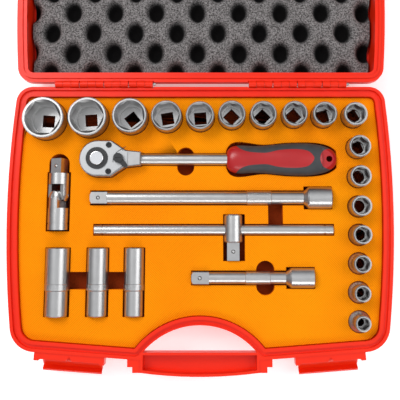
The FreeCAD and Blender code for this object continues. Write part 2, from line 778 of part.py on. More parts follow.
def make_ratchet():
    y, z = ratchet_y, ratchet_z
    head = prism(head_face(0), head_bottom, head_top)
    rims = [e for e in head.Edges if e.BoundBox.ZLength < 0.01]
    head = head.makeChamfer(1.0, rims)
    tang_end = hang_hole_x - 14
    body = head.fuse([rod_x(neck_x - 2, grip_start_x + 4, y, z, shaft_radius),
                      rod_x(neck_x - 2, tang_end, y, z, tang_radius)])
    gear_room = rod(head_x, y, gear_z - 0.3, head_top, gear_radius + gear_side_gap)
    pawl_x0 = head_x + gear_radius + pawl_gap
    pawl_room = box(head_x, lever_x + 4.5, y - 8.5, y + 8.5, gear_z - 0.3, head_top)
    body = body.cut([gear_room, pawl_room,
                     rod(head_x, y, head_bottom - 1, gear_z, journal_radius + running_gap)])
    screws, holes = [], []
    for side in (-1, 1):
        sy = y + side * cover_screw_offset
        top = head_top + cover_thickness
        screws.append(rod(cover_screw_x, sy, top, top + 0.8, cover_screw_radius).fuse(
            rod(cover_screw_x, sy, head_top - 8, top, 1.4)).cut(
            prism(hexagon(2.6, 0), 0, 1.2).translated(V(cover_screw_x, sy, top - 0.2))))
        holes.append(rod(cover_screw_x, sy, head_top - 8, top, 1.4))
    body = body.cut(holes)
    save("ratchet_body", body)
    save("cover_screws", Part.Compound(screws))

    plate = prism(head_face(cover_inset), head_top, head_top + cover_thickness)
    plate = plate.cut(box(lever_x + 9, neck_x + 1, y - 20, y + 20, head_top - 1, head_top + 3))
    plate = plate.cut(holes + [rod(head_x, y, head_top - 1, head_top + 3, bezel_outer_radius),
                               rod(lever_x, y, head_top - 1, head_top + 3,
                                   lever_shaft_radius + running_gap)])
    save("cover_plate", plate)
    bezel = rod(head_x, y, head_top - 0.6, head_top + cover_thickness + bezel_height,
                bezel_outer_radius)
    bezel = bezel.cut(rod(head_x, y, head_top - 1, head_top + 4, button_radius + running_gap))
    save("button_bezel", bezel)

    gear = prism(gear_profile(), gear_z, gear_z + gear_height)
    gear = gear.fuse([rod(head_x, y, head_bottom - 0.4, gear_z, journal_radius),
                      prism(square(drive_male, 0), head_bottom - 0.4 - anvil_length,
                            head_bottom).translated(V(head_x, y, 0))])
    ball_z = head_bottom - 0.4 - anvil_length / 2
    button_bottom = gear_z + gear_height - 3.5
    gear = gear.cut([rod(head_x, y, button_bottom, gear_z + gear_height,
                         button_radius + running_gap),
                     rod(head_x, y, ball_z + 3.4, gear_z + gear_height,
                         button_stem_radius + running_gap),
                     ball_hole(head_x, y, ball_z, V(0, 1, 0))])
    save("ratchet_gear", gear)
    save("ratchet_ball", detent_ball(head_x, y, ball_z, V(0, 1, 0)))

    button_top = head_top + cover_thickness + button_proud
    button_seat = button_bottom + button_travel + 0.4
    button = rod(head_x, y, button_seat, button_top, button_radius)
    button = button.makeFillet(0.8, [e for e in button.Edges if e.BoundBox.ZMin > button_top - 0.1])
    button = button.fuse(rod(head_x, y, ball_z + 3.4 + button_travel + 0.4, button_seat + 0.5,
                             button_stem_radius))
    save("release_button", button)
    spring = rod(head_x, y, button_bottom, button_seat, button_radius - 1)
    save("button_spring", spring.cut(rod(head_x, y, button_bottom, button_seat,
                                         button_radius - 2.4)))

    lever_z = head_top + cover_thickness + 0.3
    lever = rod(lever_x, y, lever_z, lever_z + lever_height, lever_hub_radius)
    arm = polygon([(0, -3.4), (lever_reach - 3, -2.2), (lever_reach, 0),
                   (lever_reach - 3, 2.2), (0, 3.4)])
    arm = prism(arm, lever_z, lever_z + lever_height - 0.8)
    arm.rotate(V(0, 0, 0), UP, lever_rest_deg)
    arm.translate(V(lever_x, y, 0))
    lever = lever.fuse([arm, rod(lever_x, y, gear_z + 0.4, lever_z, lever_shaft_radius)])
    lever = lever.removeSplitter()
    save("reversing_lever", lever.cut(box(lever_x - 3, lever_x + 3, y - 0.6, y + 0.6,
                                          lever_z + lever_height - 0.8,
                                          lever_z + lever_height)))
    pawl_back = lever_x - lever_shaft_radius - 0.6
    pawl = box(pawl_x0, pawl_back, y - pawl_half_length, y + pawl_half_length,
               gear_z + 0.3, gear_z + gear_height - 0.3)
    pin_x = (pawl_x0 + pawl_back) / 2
    pawl = pawl.cut(rod(pin_x, y, gear_z, gear_z + gear_height,
                        pawl_pin_radius + running_gap))
    pawl.rotate(V(pin_x, y, 0), UP, -pawl_tilt_deg)
    save("pawl", pawl)
    save("pawl_pin", rod(pin_x, y, gear_z - 0.3, head_top, pawl_pin_radius))

    grip = grip_solid()
    tip_cut = [box(grip_tip_flat_x, grip_end_x + 5, y - 30, y + 30,
                   z + s * grip_tip_half_height + (0 if s > 0 else -20),
                   z + s * grip_tip_half_height + (20 if s > 0 else 0)) for s in (-1, 1)]
    grip = grip.cut(tip_cut)
    hole = rod(hang_hole_x, y, z - 20, z + 20, hang_hole_radius)
    rear_side = [V(grip_start_x + x, y + half, 0) for x, half in grip_panel]
    front_side = [V(grip_start_x + x, y - half, 0) for x, half in reversed(grip_panel)]
    outline = Part.BSplineCurve()
    outline.interpolate(rear_side + [V(grip_start_x + grip_panel_end, y, 0)] + front_side)
    panel = Part.Face(Part.Wire([outline.toShape(),
                                 Part.makeLine(front_side[-1], rear_side[0])]))
    spine = rod_x(grip_start_x - 1, grip_tip_flat_x, y, z, grip_spine_radius)
    sides = box(grip_start_x + grip_panel[0][0] + 1, grip_end_x + 1, y - 30, y + 30,
                z - 30, z + 30)
    sides = sides.cut([prism(panel, z - 30, z + 30), spine,
                       rod(grip_tip_x, y, z - 30, z + 30, grip_tip_radius)])
    sleeve = grip.common(sides)
    core = grip.cut([sides, hole, rod_x(grip_start_x - 1, grip_start_x + 4, y, z, shaft_radius),
                     rod_x(grip_start_x, tang_end, y, z, tang_radius)])
    save("grip_core", core)
    save("grip_overmould", sleeve)


# ================================================================ foam
def rectangle(x, y):
    return polygon([(x[0], y[0]), (x[1], y[0]), (x[1], y[1]), (x[0], y[1])])


def lying_pocket(x0, x1, y, half, gap):
    return rectangle((x0 - gap, x1 + gap), (y - half - gap, y + half + gap))


def extension_pocket(left_x, y, length, shaft_d, female_d, knurl_start):
    half_shaft = shaft_d / 2 + knurl_proud
    end = left_x + length
    return [lying_pocket(left_x, end, y, half_shaft, pocket_gap),
            lying_pocket(end - female_end_length - female_taper, end, y, female_d / 2, pocket_gap)]


def through_pockets():
    """Every pocket that goes through the orange sheet, as plan faces."""
    faces = [disc(x, y, max(nose, drive) / 2 + pocket_gap)
             for _, x, y, nose, drive, _, _ in short_sockets]
    for _, x, diameter in deep_sockets:
        r = diameter / 2 + deep_band_proud + pocket_gap
        faces.append(rectangle((x - r, x + r), (deep_rear_y - deep_length - pocket_gap,
                                                deep_rear_y + pocket_gap)))
    faces.append(rectangle((deep_sockets[0][1], deep_sockets[-1][1]), deep_recess_y))
    for dims in (long_extension, short_extension):
        faces += extension_pocket(*dims)
    faces.append(lying_pocket(t_bar_left, t_bar_left + t_bar_length, t_bar_y, t_bar_radius,
                              pocket_gap))
    faces.append(rectangle((slider_x - slider_radius - pocket_gap,
                            slider_x + slider_radius + slider_pocket_gap),
                           (t_drive_front_y - pocket_gap, slider_rear_y + pocket_gap)))
    faces.append(rectangle(bar_recess_x, (t_bar_y, long_extension[1])))
    faces.append(stadium(short_recess_x, short_extension[1] - short_recess_reach,
                         short_extension[1] + short_recess_reach, short_recess_width))
    r = uj_radius + loose_pocket_gap
    faces.append(rectangle((uj_x - r, uj_x + r),
                           (uj_front_y - loose_pocket_gap, uj_collar_y + loose_pocket_gap)))
    faces.append(stadium(uj_x, uj_cross_y, uj_rear_y + uj_pocket_end, drive_male + 8.3))
    faces.append(stadium(ratchet_recess_x, ratchet_y + ratchet_recess_reach[0],
                         ratchet_y + ratchet_recess_reach[1], finger_recess_width))
    return faces + ratchet_pocket()


def ratchet_pocket():
    head = grown(head_face(0), pocket_gap)
    shaft = lying_pocket(neck_x - 2, grip_start_x, ratchet_y, shaft_radius, pocket_gap)
    length = grip_end_x - grip_start_x
    w = grip_half_width + pocket_gap
    y = ratchet_y
    side = [(-0.4, 0.50), (3, 0.86), (0.30 * length, 0.89), (0.5 * length, 0.97),
            (0.66 * length, 1.02), (0.84 * length, 0.97), (0.95 * length, 0.76),
            (length + 0.4, 0.50)]
    upper = [V(grip_start_x + x, y + k * w, 0) for x, k in side]
    lower = [V(grip_start_x + x, y - k * w, 0) for x, k in reversed(side)]
    curves = []
    for points in (upper, lower):
        curve = Part.BSplineCurve()
        curve.interpolate(points)
        curves.append(curve.toShape())
    ends = [Part.makeLine(upper[-1], lower[0]), Part.makeLine(lower[-1], upper[0])]
    grip = Part.Face(Part.Wire([curves[0], ends[0], curves[1], ends[1]]))
    return [head, shaft, grip]


def tiles(layer, grids):
    """The pieces of a foam layer between lines across X and lines across Y."""
    pieces = []
    for xs, ys in grids:
        band = layer.common(box(xs[0], xs[-1], ys[0], ys[-1], 0, foam_top_z))
        for x0, x1 in zip(xs, xs[1:]):
            for y0, y1 in zip(ys, ys[1:]):
                pieces += band.common(box(x0, x1, y0, y1, 0, foam_top_z)).Solids
    return Part.Compound(pieces)


def socket_grids(standing):
    """Lines through the standing sockets of the rear row and of the right-hand column."""
    row = [x for _, x, y, *_ in standing if y > rear_row_front_y]
    column = sorted(y for _, x, y, *_ in standing if y <= rear_row_front_y)
    column_middle = [column_x] if column else []
    return [([-far] + row + [far], [rear_row_front_y, rear_row_y, far]),
            ([column_left_x] + column_middle + [far], [-far] + column + [rear_row_front_y])]


def sheet_grids():
    """Lines through the pockets of the lying tools, and along the walls that close them."""
    wall_gap = pocket_gap - in_pocket
    deep_xs = [x for _, x, _ in deep_sockets]
    deep_rear, deep_front = deep_rear_y + wall_gap, deep_rear_y - deep_length - wall_gap
    deep_ys = [deep_front, deep_recess_y[0] + in_pocket, deep_recess_y[1] - in_pocket,
               deep_rear]
    uj_front = uj_front_y - loose_pocket_gap + in_pocket
    uj_rear = uj_rear_y + uj_pocket_end / 2
    recess = [ratchet_recess_x - ratchet_recess_half, ratchet_recess_x + ratchet_recess_half]
    grip = [grip_start_x - wall_gap, grip_start_x + grip_collar_length,
            grip_end_x - grip_tip_length, grip_end_x + wall_gap]
    bar_xs = []
    for left, y, length, *_ in (long_extension, short_extension):
        end = left + length
        bar_xs.append([left - wall_gap, end - female_end_length - female_taper - wall_gap,
                       end + wall_gap])
    (long_left, long_female, long_right), (short_left, short_female, short_right) = bar_xs
    t_left, t_right = t_bar_left - wall_gap, t_bar_left + t_bar_length + wall_gap
    slider = [slider_x - slider_radius - wall_gap,
              slider_x + slider_radius + slider_pocket_gap - in_pocket]
    bar_recess = [bar_recess_x[0] + in_pocket, bar_recess_x[1] - in_pocket]
    short_recess = [short_recess_x - short_recess_half, short_recess_x + short_recess_half]
    long_y, short_y = long_extension[1], short_extension[1]
    return [
        ([-far, left_column_x], [uj_rear, rear_row_front_y]),
        ([-far, uj_x, left_column_x], [uj_front, uj_rear]),
        ([-far, left_column_x], [deep_rear, uj_front]),
        ([-far] + deep_xs + [middle_x], deep_ys),
        ([-far, -arch_half, middle_x], [-far, deep_front]),
        ([left_column_x, head_x, neck_x] + recess + grip + [column_left_x],
         [ratchet_y, rear_row_front_y]),
        ([left_column_x, long_left, head_x, neck_x] + recess + grip[:2]
         + [long_female, grip[2], long_right, column_left_x], [long_y, ratchet_y]),
        ([left_column_x, long_left, t_left] + slider + bar_recess
         + [long_female, long_right, t_right, column_left_x], [t_bar_y, long_y]),
        ([left_column_x, t_left, middle_x], [deep_rear, t_bar_y]),
        ([middle_x, short_left] + slider + short_recess
         + [short_female, short_right, t_right, column_left_x], [short_y, t_bar_y]),
        ([middle_x, -arch_quarter, short_left, arch_quarter] + short_recess
         + [short_female, short_right, column_left_x], [-far, short_y]),
    ]


def make_foam():
    edge = grown(cavity, -foam_side_gap)
    sheet = prism(edge, foam_split_z, foam_top_z)
    sheet = sheet.cut([prism(f, foam_split_z, foam_top_z) for f in through_pockets()])
    skin_z = foam_top_z - skin_thickness
    above = box(-far, far, -far, far, skin_z, foam_top_z)
    save("foam_skin", sheet.common(above))
    save("foam_sheet", tiles(sheet.cut(above), socket_grids(short_sockets) + sheet_grids()))

    cuts = [rod(x, y, socket_rim_z - length - seat_gap, foam_split_z,
                max(nose, drive) / 2 + pocket_gap)
            for _, x, y, nose, drive, length, _ in short_sockets]
    cuts.append(rod(head_x, ratchet_y, head_bottom - anvil_length - 1, foam_split_z,
                    journal_radius + loose_pocket_gap))
    block = prism(edge, floor_thickness, foam_split_z).cut(cuts)
    floors = sorted({socket_rim_z - length - seat_gap for *_, length, _ in short_sockets})
    levels = [floor_thickness] + floors + [foam_split_z]
    layers = []
    for low, high in zip(levels, levels[1:]):
        layer = block.common(box(-far, far, -far, far, low, high))
        open_here = [s for s in short_sockets if socket_rim_z - s[5] - seat_gap <= low]
        grids = socket_grids(open_here) + [
            ([-far, head_x, column_left_x], [block_front_y, ratchet_y, rear_row_front_y]),
            ([-far, -arch_half, -arch_quarter, 0, arch_quarter, arch_half, column_left_x],
             [-far, block_front_y])]
        layers.append(tiles(layer, grids))
    save("foam_block", Part.Compound(layers))


make_case()
make_short_sockets()
make_deep_sockets()
make_extensions()
make_t_bar()
make_universal_joint()
make_ratchet()
make_foam()
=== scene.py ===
import json
import math

import bmesh
import bpy
from mathutils import Matrix, Vector, noise


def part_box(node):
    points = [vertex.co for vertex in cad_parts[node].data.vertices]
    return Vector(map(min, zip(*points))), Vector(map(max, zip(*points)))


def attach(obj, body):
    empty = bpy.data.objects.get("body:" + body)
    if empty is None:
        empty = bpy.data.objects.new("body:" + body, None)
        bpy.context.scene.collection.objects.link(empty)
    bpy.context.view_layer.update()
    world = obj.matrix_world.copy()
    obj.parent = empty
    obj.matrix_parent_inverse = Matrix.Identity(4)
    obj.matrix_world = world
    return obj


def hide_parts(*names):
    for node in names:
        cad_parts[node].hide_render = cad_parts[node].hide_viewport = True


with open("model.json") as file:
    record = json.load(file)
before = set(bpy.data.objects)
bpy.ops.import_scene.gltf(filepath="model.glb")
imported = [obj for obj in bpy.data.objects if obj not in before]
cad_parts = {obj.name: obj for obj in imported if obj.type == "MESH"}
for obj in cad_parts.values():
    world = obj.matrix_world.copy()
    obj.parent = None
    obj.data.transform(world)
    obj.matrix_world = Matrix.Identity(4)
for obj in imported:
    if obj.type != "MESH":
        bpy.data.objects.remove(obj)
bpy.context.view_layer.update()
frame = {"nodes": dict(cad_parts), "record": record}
MM = 0.001
NODES = frame["nodes"]
JOINTS = {joint["name"]: joint for joint in frame["record"]["behaviour"]["joints"]}


# ---------------------------------------------------------------- finishes
class Wire:
    """A shader socket that takes part in arithmetic: each step adds a Math node."""

    def __init__(self, finish, socket):
        self.finish, self.socket = finish, socket

    def step(self, operation, *values):
        return self.finish.node("ShaderNodeMath", {"operation": operation},
                                dict(enumerate(values)))

    def __add__(self, other):
        return self.step("ADD", self, other)

    def __sub__(self, other):
        return self.step("SUBTRACT", self, other)

    def __rsub__(self, other):
        return self.step("SUBTRACT", other, self)

    def __mul__(self, other):
        return self.step("MULTIPLY", self, other)

    def __truediv__(self, other):
        return self.step("DIVIDE", self, other)

    __radd__ = __add__
    __rmul__ = __mul__

    def sine(self):
        return self.step("SINE", self)

    def bigger(self, other):
        return self.step("MAXIMUM", self, other)

    def rise(self, low, high):
        """0 below low and 1 above high, with a smooth step between them."""
        return self.finish.node("ShaderNodeMapRange", {"interpolation_type": "SMOOTHSTEP"},
                                {"Value": self, "From Min": low, "From Max": high})


class Finish:
    """A procedural surface: one Principled shader and the nodes that vary it."""

    def __init__(self, name, colour, roughness, **fixed):
        self.material = bpy.data.materials.new(name)
        self.material.use_nodes = True
        self.tree = self.material.node_tree
        self.tree.nodes.clear()
        self.shader = self.tree.nodes.new("ShaderNodeBsdfPrincipled")
        surface = self.tree.nodes.new("ShaderNodeOutputMaterial")
        self.tree.links.new(self.shader.outputs[0], surface.inputs["Surface"])
        self.set("Base Color", (*colour, 1.0))
        self.set("Roughness", roughness)
        for socket, value in fixed.items():
            self.set(socket.replace("_", " "), value)

    def set(self, socket, value):
        self.feed(self.shader.inputs[socket], value)

    def feed(self, socket, value):
        if isinstance(value, Wire):
            self.tree.links.new(value.socket, socket)
        else:
            socket.default_value = value

    def node(self, kind, settings=None, inputs=None, output=0):
        made = self.tree.nodes.new(kind)
        for key, value in (settings or {}).items():
            setattr(made, key, value)
        for key, value in (inputs or {}).items():
            self.feed(made.inputs[key], value)
        return Wire(self, made.outputs[output])

    def place(self):
        """Object coordinates, in metres."""
        return self.node("ShaderNodeTexCoord", output="Object")

    def axes(self):
        split = self.node("ShaderNodeSeparateXYZ", inputs={0: self.place()})
        return [Wire(self, split.socket.node.outputs[i]) for i in range(3)]

    def grain(self, size_mm, detail=2.0, roughness=0.5):
        """Noise from 0 to 1 whose features are about this many millimetres across."""
        return self.node("ShaderNodeTexNoise", {"noise_dimensions": "3D"},
                         {"Vector": self.place(), "Scale": 1 / (size_mm * MM),
                          "Detail": detail, "Roughness": roughness})

    def cells(self, size_mm, feature="F1"):
        return self.node("ShaderNodeTexVoronoi", {"feature": feature},
                         {"Vector": self.place(), "Scale": 1 / (size_mm * MM)})

    def blend(self, share, first, second):
        """A colour between two, by a share from 0 to 1."""
        made = self.tree.nodes.new("ShaderNodeMix")
        made.data_type = "RGBA"
        self.feed(made.inputs["Factor"], share)
        sockets = [s for s in made.inputs if s.type == "RGBA"]
        for socket, colour in zip(sockets, (first, second)):
            self.feed(socket, colour if isinstance(colour, Wire) else (*colour, 1.0))
        return Wire(self, next(s for s in made.outputs if s.type == "RGBA"))

    def relief(self, height, depth_mm, strength=1.0):
        self.set("Normal", self.node("ShaderNodeBump", inputs={
            "Height": height, "Distance": depth_mm * MM, "Strength": strength}))


def case_plastic():
    """Injection-moulded case: saturated orange-red, a fine moulded grain, scuffed a little."""
    f = Finish("case_plastic", (0.85, 0.03, 0.004), 0.32, Specular_IOR_Level=0.28)
    cloud = f.grain(60, 2)
    f.set("Base Color", f.blend(cloud, (0.80, 0.014, 0.001), (0.88, 0.026, 0.002)))
    scuff = f.grain(9, 3, 0.6)
    f.set("Roughness", 0.27 + scuff * 0.12)
    f.relief(f.grain(0.9, 1) * 0.6 + f.grain(14, 1) * 2.0, 0.05)
    return f.material


def foam_sheet_finish():
    """Orange sheet foam, its skin embossed with a fine diagonal hatch."""
    f = Finish("orange_foam", (1.0, 0.24, 0.0), 0.9, Specular_IOR_Level=0.1)
    x, y, z = f.axes()
    pitch = 2 * math.pi / (1.7 * MM)
    one_way = ((x + y) * pitch / math.sqrt(2)).sine()
    other_way = ((x - y) * pitch / math.sqrt(2)).sine()
    patches = f.grain(55, 1).rise(0.42, 0.6)
    hatch = one_way * patches + other_way * (1 - patches)
    pores = f.grain(0.7, 2, 0.7)
    top = z.rise(40.4 * MM, 40.8 * MM)
    shade = f.grain(80, 2, 0.4)
    base = f.blend(shade, (0.97, 0.23, 0.0), (1.0, 0.40, 0.0))
    base = f.blend((hatch * 0.5 + 0.5) * 0.62 * top, base, (0.66, 0.10, 0.0))
    # Painted shade: the pocket walls and sides below the skin are coloured dark red, as if in
    # shadow.
    base = f.blend((1 - top) * 0.85, base, (0.62, 0.06, 0.0))
    f.set("Base Color", base)
    f.relief(hatch * top * 0.6 + pores * 0.8, 0.16)
    return f.material


def foam_block_finish():
    """The darker foam under the sheet, seen at the bottom of each pocket."""
    f = Finish("dark_foam", (0.22, 0.025, 0.002), 0.9, Specular_IOR_Level=0.15)
    pores = f.grain(1.1, 3, 0.7)
    f.set("Base Color", f.blend(pores, (0.14, 0.012, 0.001), (0.34, 0.045, 0.003)))
    f.relief(pores, 0.3)
    return f.material


def lid_foam_finish():
    """Open-cell charcoal foam: pale fibres on the crests, and painted shade that darkens the
    hollows of the pits to near black.
    """
    f = Finish("charcoal_foam", (0.12, 0.115, 0.115), 1.0, Specular_IOR_Level=0.1)
    specks = f.grain(1.7, 3, 0.8)
    threads = f.cells(1.9, "DISTANCE_TO_EDGE")
    light = specks.rise(0.36, 0.66) * 0.8 + (0.10 - threads).bigger(0) * 1.5
    base = f.blend(light, (0.035, 0.031, 0.03), (0.36, 0.34, 0.335))
    # Painted shade: the per-vertex depth share blends the foam towards near black deep in each
    # pit.
    deep = f.node("ShaderNodeAttribute", {"attribute_name": "depth"}, output="Fac")
    f.set("Base Color", f.blend(deep, base, (0.004, 0.0035, 0.0035)))
    f.relief(specks + threads * 0.8, 0.9)
    return f.material


def satin_chrome():
    """Satin nickel-chrome plate: even, soft reflections with faint polishing marks."""
    f = Finish("satin_chrome", (0.86, 0.86, 0.87), 0.2, Metallic=1.0)
    cloud = f.grain(7, 3, 0.6)
    f.set("Base Color", f.blend(cloud, (0.46, 0.455, 0.45), (0.56, 0.555, 0.55)))
    f.set("Roughness", 0.29 + cloud * 0.06)
    f.relief(f.grain(2.5, 2), 0.004)
    return f.material


def polished_chrome():
    f = Finish("polished_chrome", (0.92, 0.92, 0.93), 0.07, Metallic=1.0)
    smear = f.grain(5, 3, 0.6)
    f.set("Roughness", 0.07 + smear * 0.13)
    return f.material


def blasted_steel():
    """Fine bead-blasted plate: pale grey and nearly matt."""
    f = Finish("blasted_steel", (0.62, 0.63, 0.64), 0.46, Metallic=0.9)
    grit = f.grain(0.45, 2, 0.7)
    f.set("Base Color", f.blend(grit, (0.38, 0.385, 0.39), (0.55, 0.555, 0.56)))
    f.set("Roughness", 0.42 + grit * 0.14)
    f.relief(grit, 0.03)
    return f.material


def black_steel():
    f = Finish("black_steel", (0.02, 0.02, 0.022), 0.34, Metallic=0.6)
    oil = f.grain(2.5, 2)
    f.set("Base Color", f.blend(oil, (0.010, 0.010, 0.011), (0.035, 0.035, 0.038)))
    f.set("Roughness", 0.28 + oil * 0.15)
    return f.material


def black_plastic():
    f = Finish("black_plastic", (0.014, 0.014, 0.015), 0.3)
    worn = f.grain(3, 3, 0.6)
    f.set("Base Color", f.blend(worn, (0.010, 0.010, 0.011), (0.026, 0.027, 0.028)))
    f.set("Roughness", 0.24 + worn * 0.18)
    f.relief(f.grain(0.6, 1), 0.02)
    return f.material


def grip_red():
    """Glossy red handle plastic."""
    f = Finish("grip_red", (0.78, 0.012, 0.018), 0.28)
    cloud = f.grain(22, 2)
    f.set("Base Color", f.blend(cloud, (0.36, 0.006, 0.008), (0.46, 0.011, 0.014)))
    f.set("Roughness", 0.24 + f.grain(6, 3) * 0.12)
    f.relief(f.grain(0.8, 1), 0.02)
    return f.material


def grip_rubber():
    """Dark grey soft rubber with a fine pebble."""
    f = Finish("grip_rubber", (0.035, 0.037, 0.04), 0.55, Specular_IOR_Level=0.4)
    pebble = f.cells(0.9)
    dust = f.grain(12, 3)
    f.set("Base Color", f.blend(dust, (0.026, 0.028, 0.030), (0.060, 0.063, 0.068)))
    f.set("Roughness", 0.46 + dust * 0.18)
    f.relief(pebble, 0.06)
    return f.material


FINISHES = {
    "case_plastic": case_plastic(), "orange_foam": foam_sheet_finish(),
    "dark_orange_foam": foam_block_finish(), "grey_foam": lid_foam_finish(),
    "red_plastic": grip_red(), "grip_rubber": grip_rubber(),
    "black_plastic": black_plastic(), "black_steel": black_steel(),
    "satin_steel": blasted_steel(), "satin_chrome": satin_chrome(),
    "polished_chrome": polished_chrome(),
}
for part in frame["record"]["subparts"]:
    node = NODES[part["node"]]
    for held in node.material_slots:
        held.material = FINISHES[part["material_slot"]]

# ---------------------------------------------------------------- new pieces


def read_node(name):
    """A merged copy of a CAD node's mesh, whose own triangles are loose."""
    copy = bmesh.new()
    copy.from_mesh(NODES[name].data)
    bmesh.ops.remove_doubles(copy, verts=copy.verts, dist=0.005 * MM)
    return copy


def add_piece(name, shape, body, slot, smooth_deg=40):
    """Turn a bmesh into a piece that rides on a body, in that slot's finish."""
    mesh = bpy.data.meshes.new(name)
    bmesh.ops.recalc_face_normals(shape, faces=shape.faces)
    shape.to_mesh(mesh)
    shape.free()
    mesh.polygons.foreach_set("use_smooth", [True] * len(mesh.polygons))
    mesh.set_sharp_from_angle(angle=math.radians(smooth_deg))
    piece = bpy.data.objects.new(name, mesh)
    bpy.context.scene.collection.objects.link(piece)
    mesh.materials.append(FINISHES[slot])
    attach(piece, body)
    return piece


def solid_boolean(shape, tool, operation, join_own_parts=False):
    """One bmesh cut, met or joined with another by Blender's exact solver."""
    held = []
    for label, part in (("shape", shape), ("tool", tool)):
        mesh = bpy.data.meshes.new(label)
        part.to_mesh(mesh)
        part.free()
        held.append(bpy.data.objects.new(label, mesh))
        bpy.context.scene.collection.objects.link(held[-1])
    step = held[0].modifiers.new("boolean", "BOOLEAN")
    step.solver, step.operation, step.object = "EXACT", operation, held[1]
    step.use_self = join_own_parts
    done = held[0].evaluated_get(bpy.context.evaluated_depsgraph_get())
    result = bmesh.new()
    result.from_mesh(done.to_mesh())
    done.to_mesh_clear()
    for part in held:
        mesh = part.data
        bpy.data.objects.remove(part)
        bpy.data.meshes.remove(mesh)
    return result


def smoothstep(low, high, value):
    share = min(max((value - low) / (high - low), 0.0), 1.0)
    return share * share * (3 - 2 * share)


# ---- the lid's egg-crate pad, shaped closed and then swung open with the lid
pad_underside, pad_back = 62.3 * MM, 78.3 * MM
pit_row, pit_column = 23.6 * MM, 23.0 * MM
pit_start = Vector((-96.5, 101.6)) * MM
pit_half_width, pit_half_length = 11.6 * MM, 15.2 * MM
pit_depth = 13.2 * MM
pad_grid = 1.5 * MM
pad_margin = 4 * MM           # how far the uncut pad runs past the outline that trims it

hinge = JOINTS["lid_hinge"]
lid_axis, lid_pin = Vector(hinge["axis"]), Vector(hinge["pos_m"])
lid_angle = -math.radians(hinge["range_deg"][0])
lid_swing = (Matrix.Translation(lid_pin) @ Matrix.Rotation(lid_angle, 4, lid_axis)
             @ Matrix.Translation(-lid_pin))


def pit_share(x, y):
    """How far a place is from the nearest pit's centre: 0 there, 1 on its oval edge."""
    x, y = x - pit_start.x, y - pit_start.y
    lowest_row = math.floor(y / pit_row)
    nearest = math.inf
    for row in (lowest_row, lowest_row + 1):
        column = 2 * round((x / pit_column - row % 2) / 2) + row % 2
        nearest = min(nearest, math.hypot((x - column * pit_column) / pit_half_width,
                                          (y - row * pit_row) / pit_half_length))
    return nearest


def pad_relief(x, y):
    """How far the pad's face is sunk: staggered egg-shaped pits between soft ridges."""
    wander = noise.noise(Vector((x, y, 0)) / (31 * MM)) * 0.9 * MM
    share = pit_share(x + wander, y + wander)
    roll = 1.4 * MM * (1 - smoothstep(0.9, 1.5, share))
    rough = noise.noise(Vector((x, y, 0)) / (2.1 * MM)) * 0.25 * MM
    return 0.35 * MM + roll + (1 - smoothstep(0.28, 1.04, share)) * pit_depth + rough


def egg_crate_pad():
    low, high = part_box("lid_foam")
    back = lid_swing.inverted()
    ends = [back @ Vector((x, y, z)) for x in (low[0], high[0]) for y in (low[1], high[1])
            for z in (low[2], high[2])]
    x0, x1 = min(p.x for p in ends) - pad_margin, max(p.x for p in ends) + pad_margin
    y0, y1 = min(p.y for p in ends) - pad_margin, max(p.y for p in ends) + pad_margin
    crate = bmesh.new()
    bmesh.ops.create_grid(crate, x_segments=round((x1 - x0) / pad_grid),
                          y_segments=round((y1 - y0) / pad_grid), size=0.5)
    for vert in crate.verts:
        x, y = x0 + (vert.co.x + 0.5) * (x1 - x0), y0 + (vert.co.y + 0.5) * (y1 - y0)
        vert.co = (x, y, pad_underside + pad_relief(x, y))
    pulled = bmesh.ops.extrude_face_region(crate, geom=crate.faces[:])["geom"]
    for vert in pulled:
        if isinstance(vert, bmesh.types.BMVert):
            vert.co.z = pad_back + pad_margin
    bmesh.ops.recalc_face_normals(crate, faces=crate.faces)
    bmesh.ops.transform(crate, matrix=lid_swing, verts=crate.verts)
    pad = solid_boolean(crate, read_node("lid_foam"), "INTERSECT")
    # Painted shade: how deep each vertex lies in a pit, stored so the charcoal finish can darken
    # the hollows.
    sunk = pad.verts.layers.float.new("depth")
    for vert in pad.verts:
        height = (back @ vert.co).z - pad_underside
        vert[sunk] = smoothstep(1.8 * MM, 9.5 * MM, height)
    return pad


pad = add_piece("egg_crate_pad", egg_crate_pad(), "lid", "grey_foam", smooth_deg=50)
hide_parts("lid_foam")


# ---- the tray's two foam layers
rim_round = 0.9 * MM
sheet_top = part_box("foam_skin")[1][2]
sheet_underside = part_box("foam_sheet")[0][2]


def cut_sheet():
    """The orange layer in one piece: its skin pulled down to full depth, its rims rounded."""
    layer = read_node("foam_skin")
    middle = (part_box("foam_skin")[0][2] + sheet_top) / 2
    for vert in layer.verts:
        if vert.co.z < middle:
            vert.co.z = sheet_underside
    top = [face for face in layer.faces if face.calc_center_median().z > sheet_top - 0.01 * MM]
    inset_before = 0.0
    for angle in (30, 60, 90):
        inset = rim_round * (1 - math.cos(math.radians(angle)))
        drop = rim_round * (1 - math.sin(math.radians(angle - 30)))
        ring = bmesh.ops.inset_region(layer, faces=top, thickness=inset - inset_before,
                                      use_even_offset=True, use_boundary=True)["faces"]
        kept = {vert for face in top for vert in face.verts}
        for vert in {v for face in ring for v in face.verts} - kept:
            vert.co.z = sheet_top - drop
        inset_before = inset
    return layer


sheet_piece = add_piece("orange_sheet", cut_sheet(), "tray", "orange_foam", smooth_deg=35)
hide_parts("foam_skin", "foam_sheet")


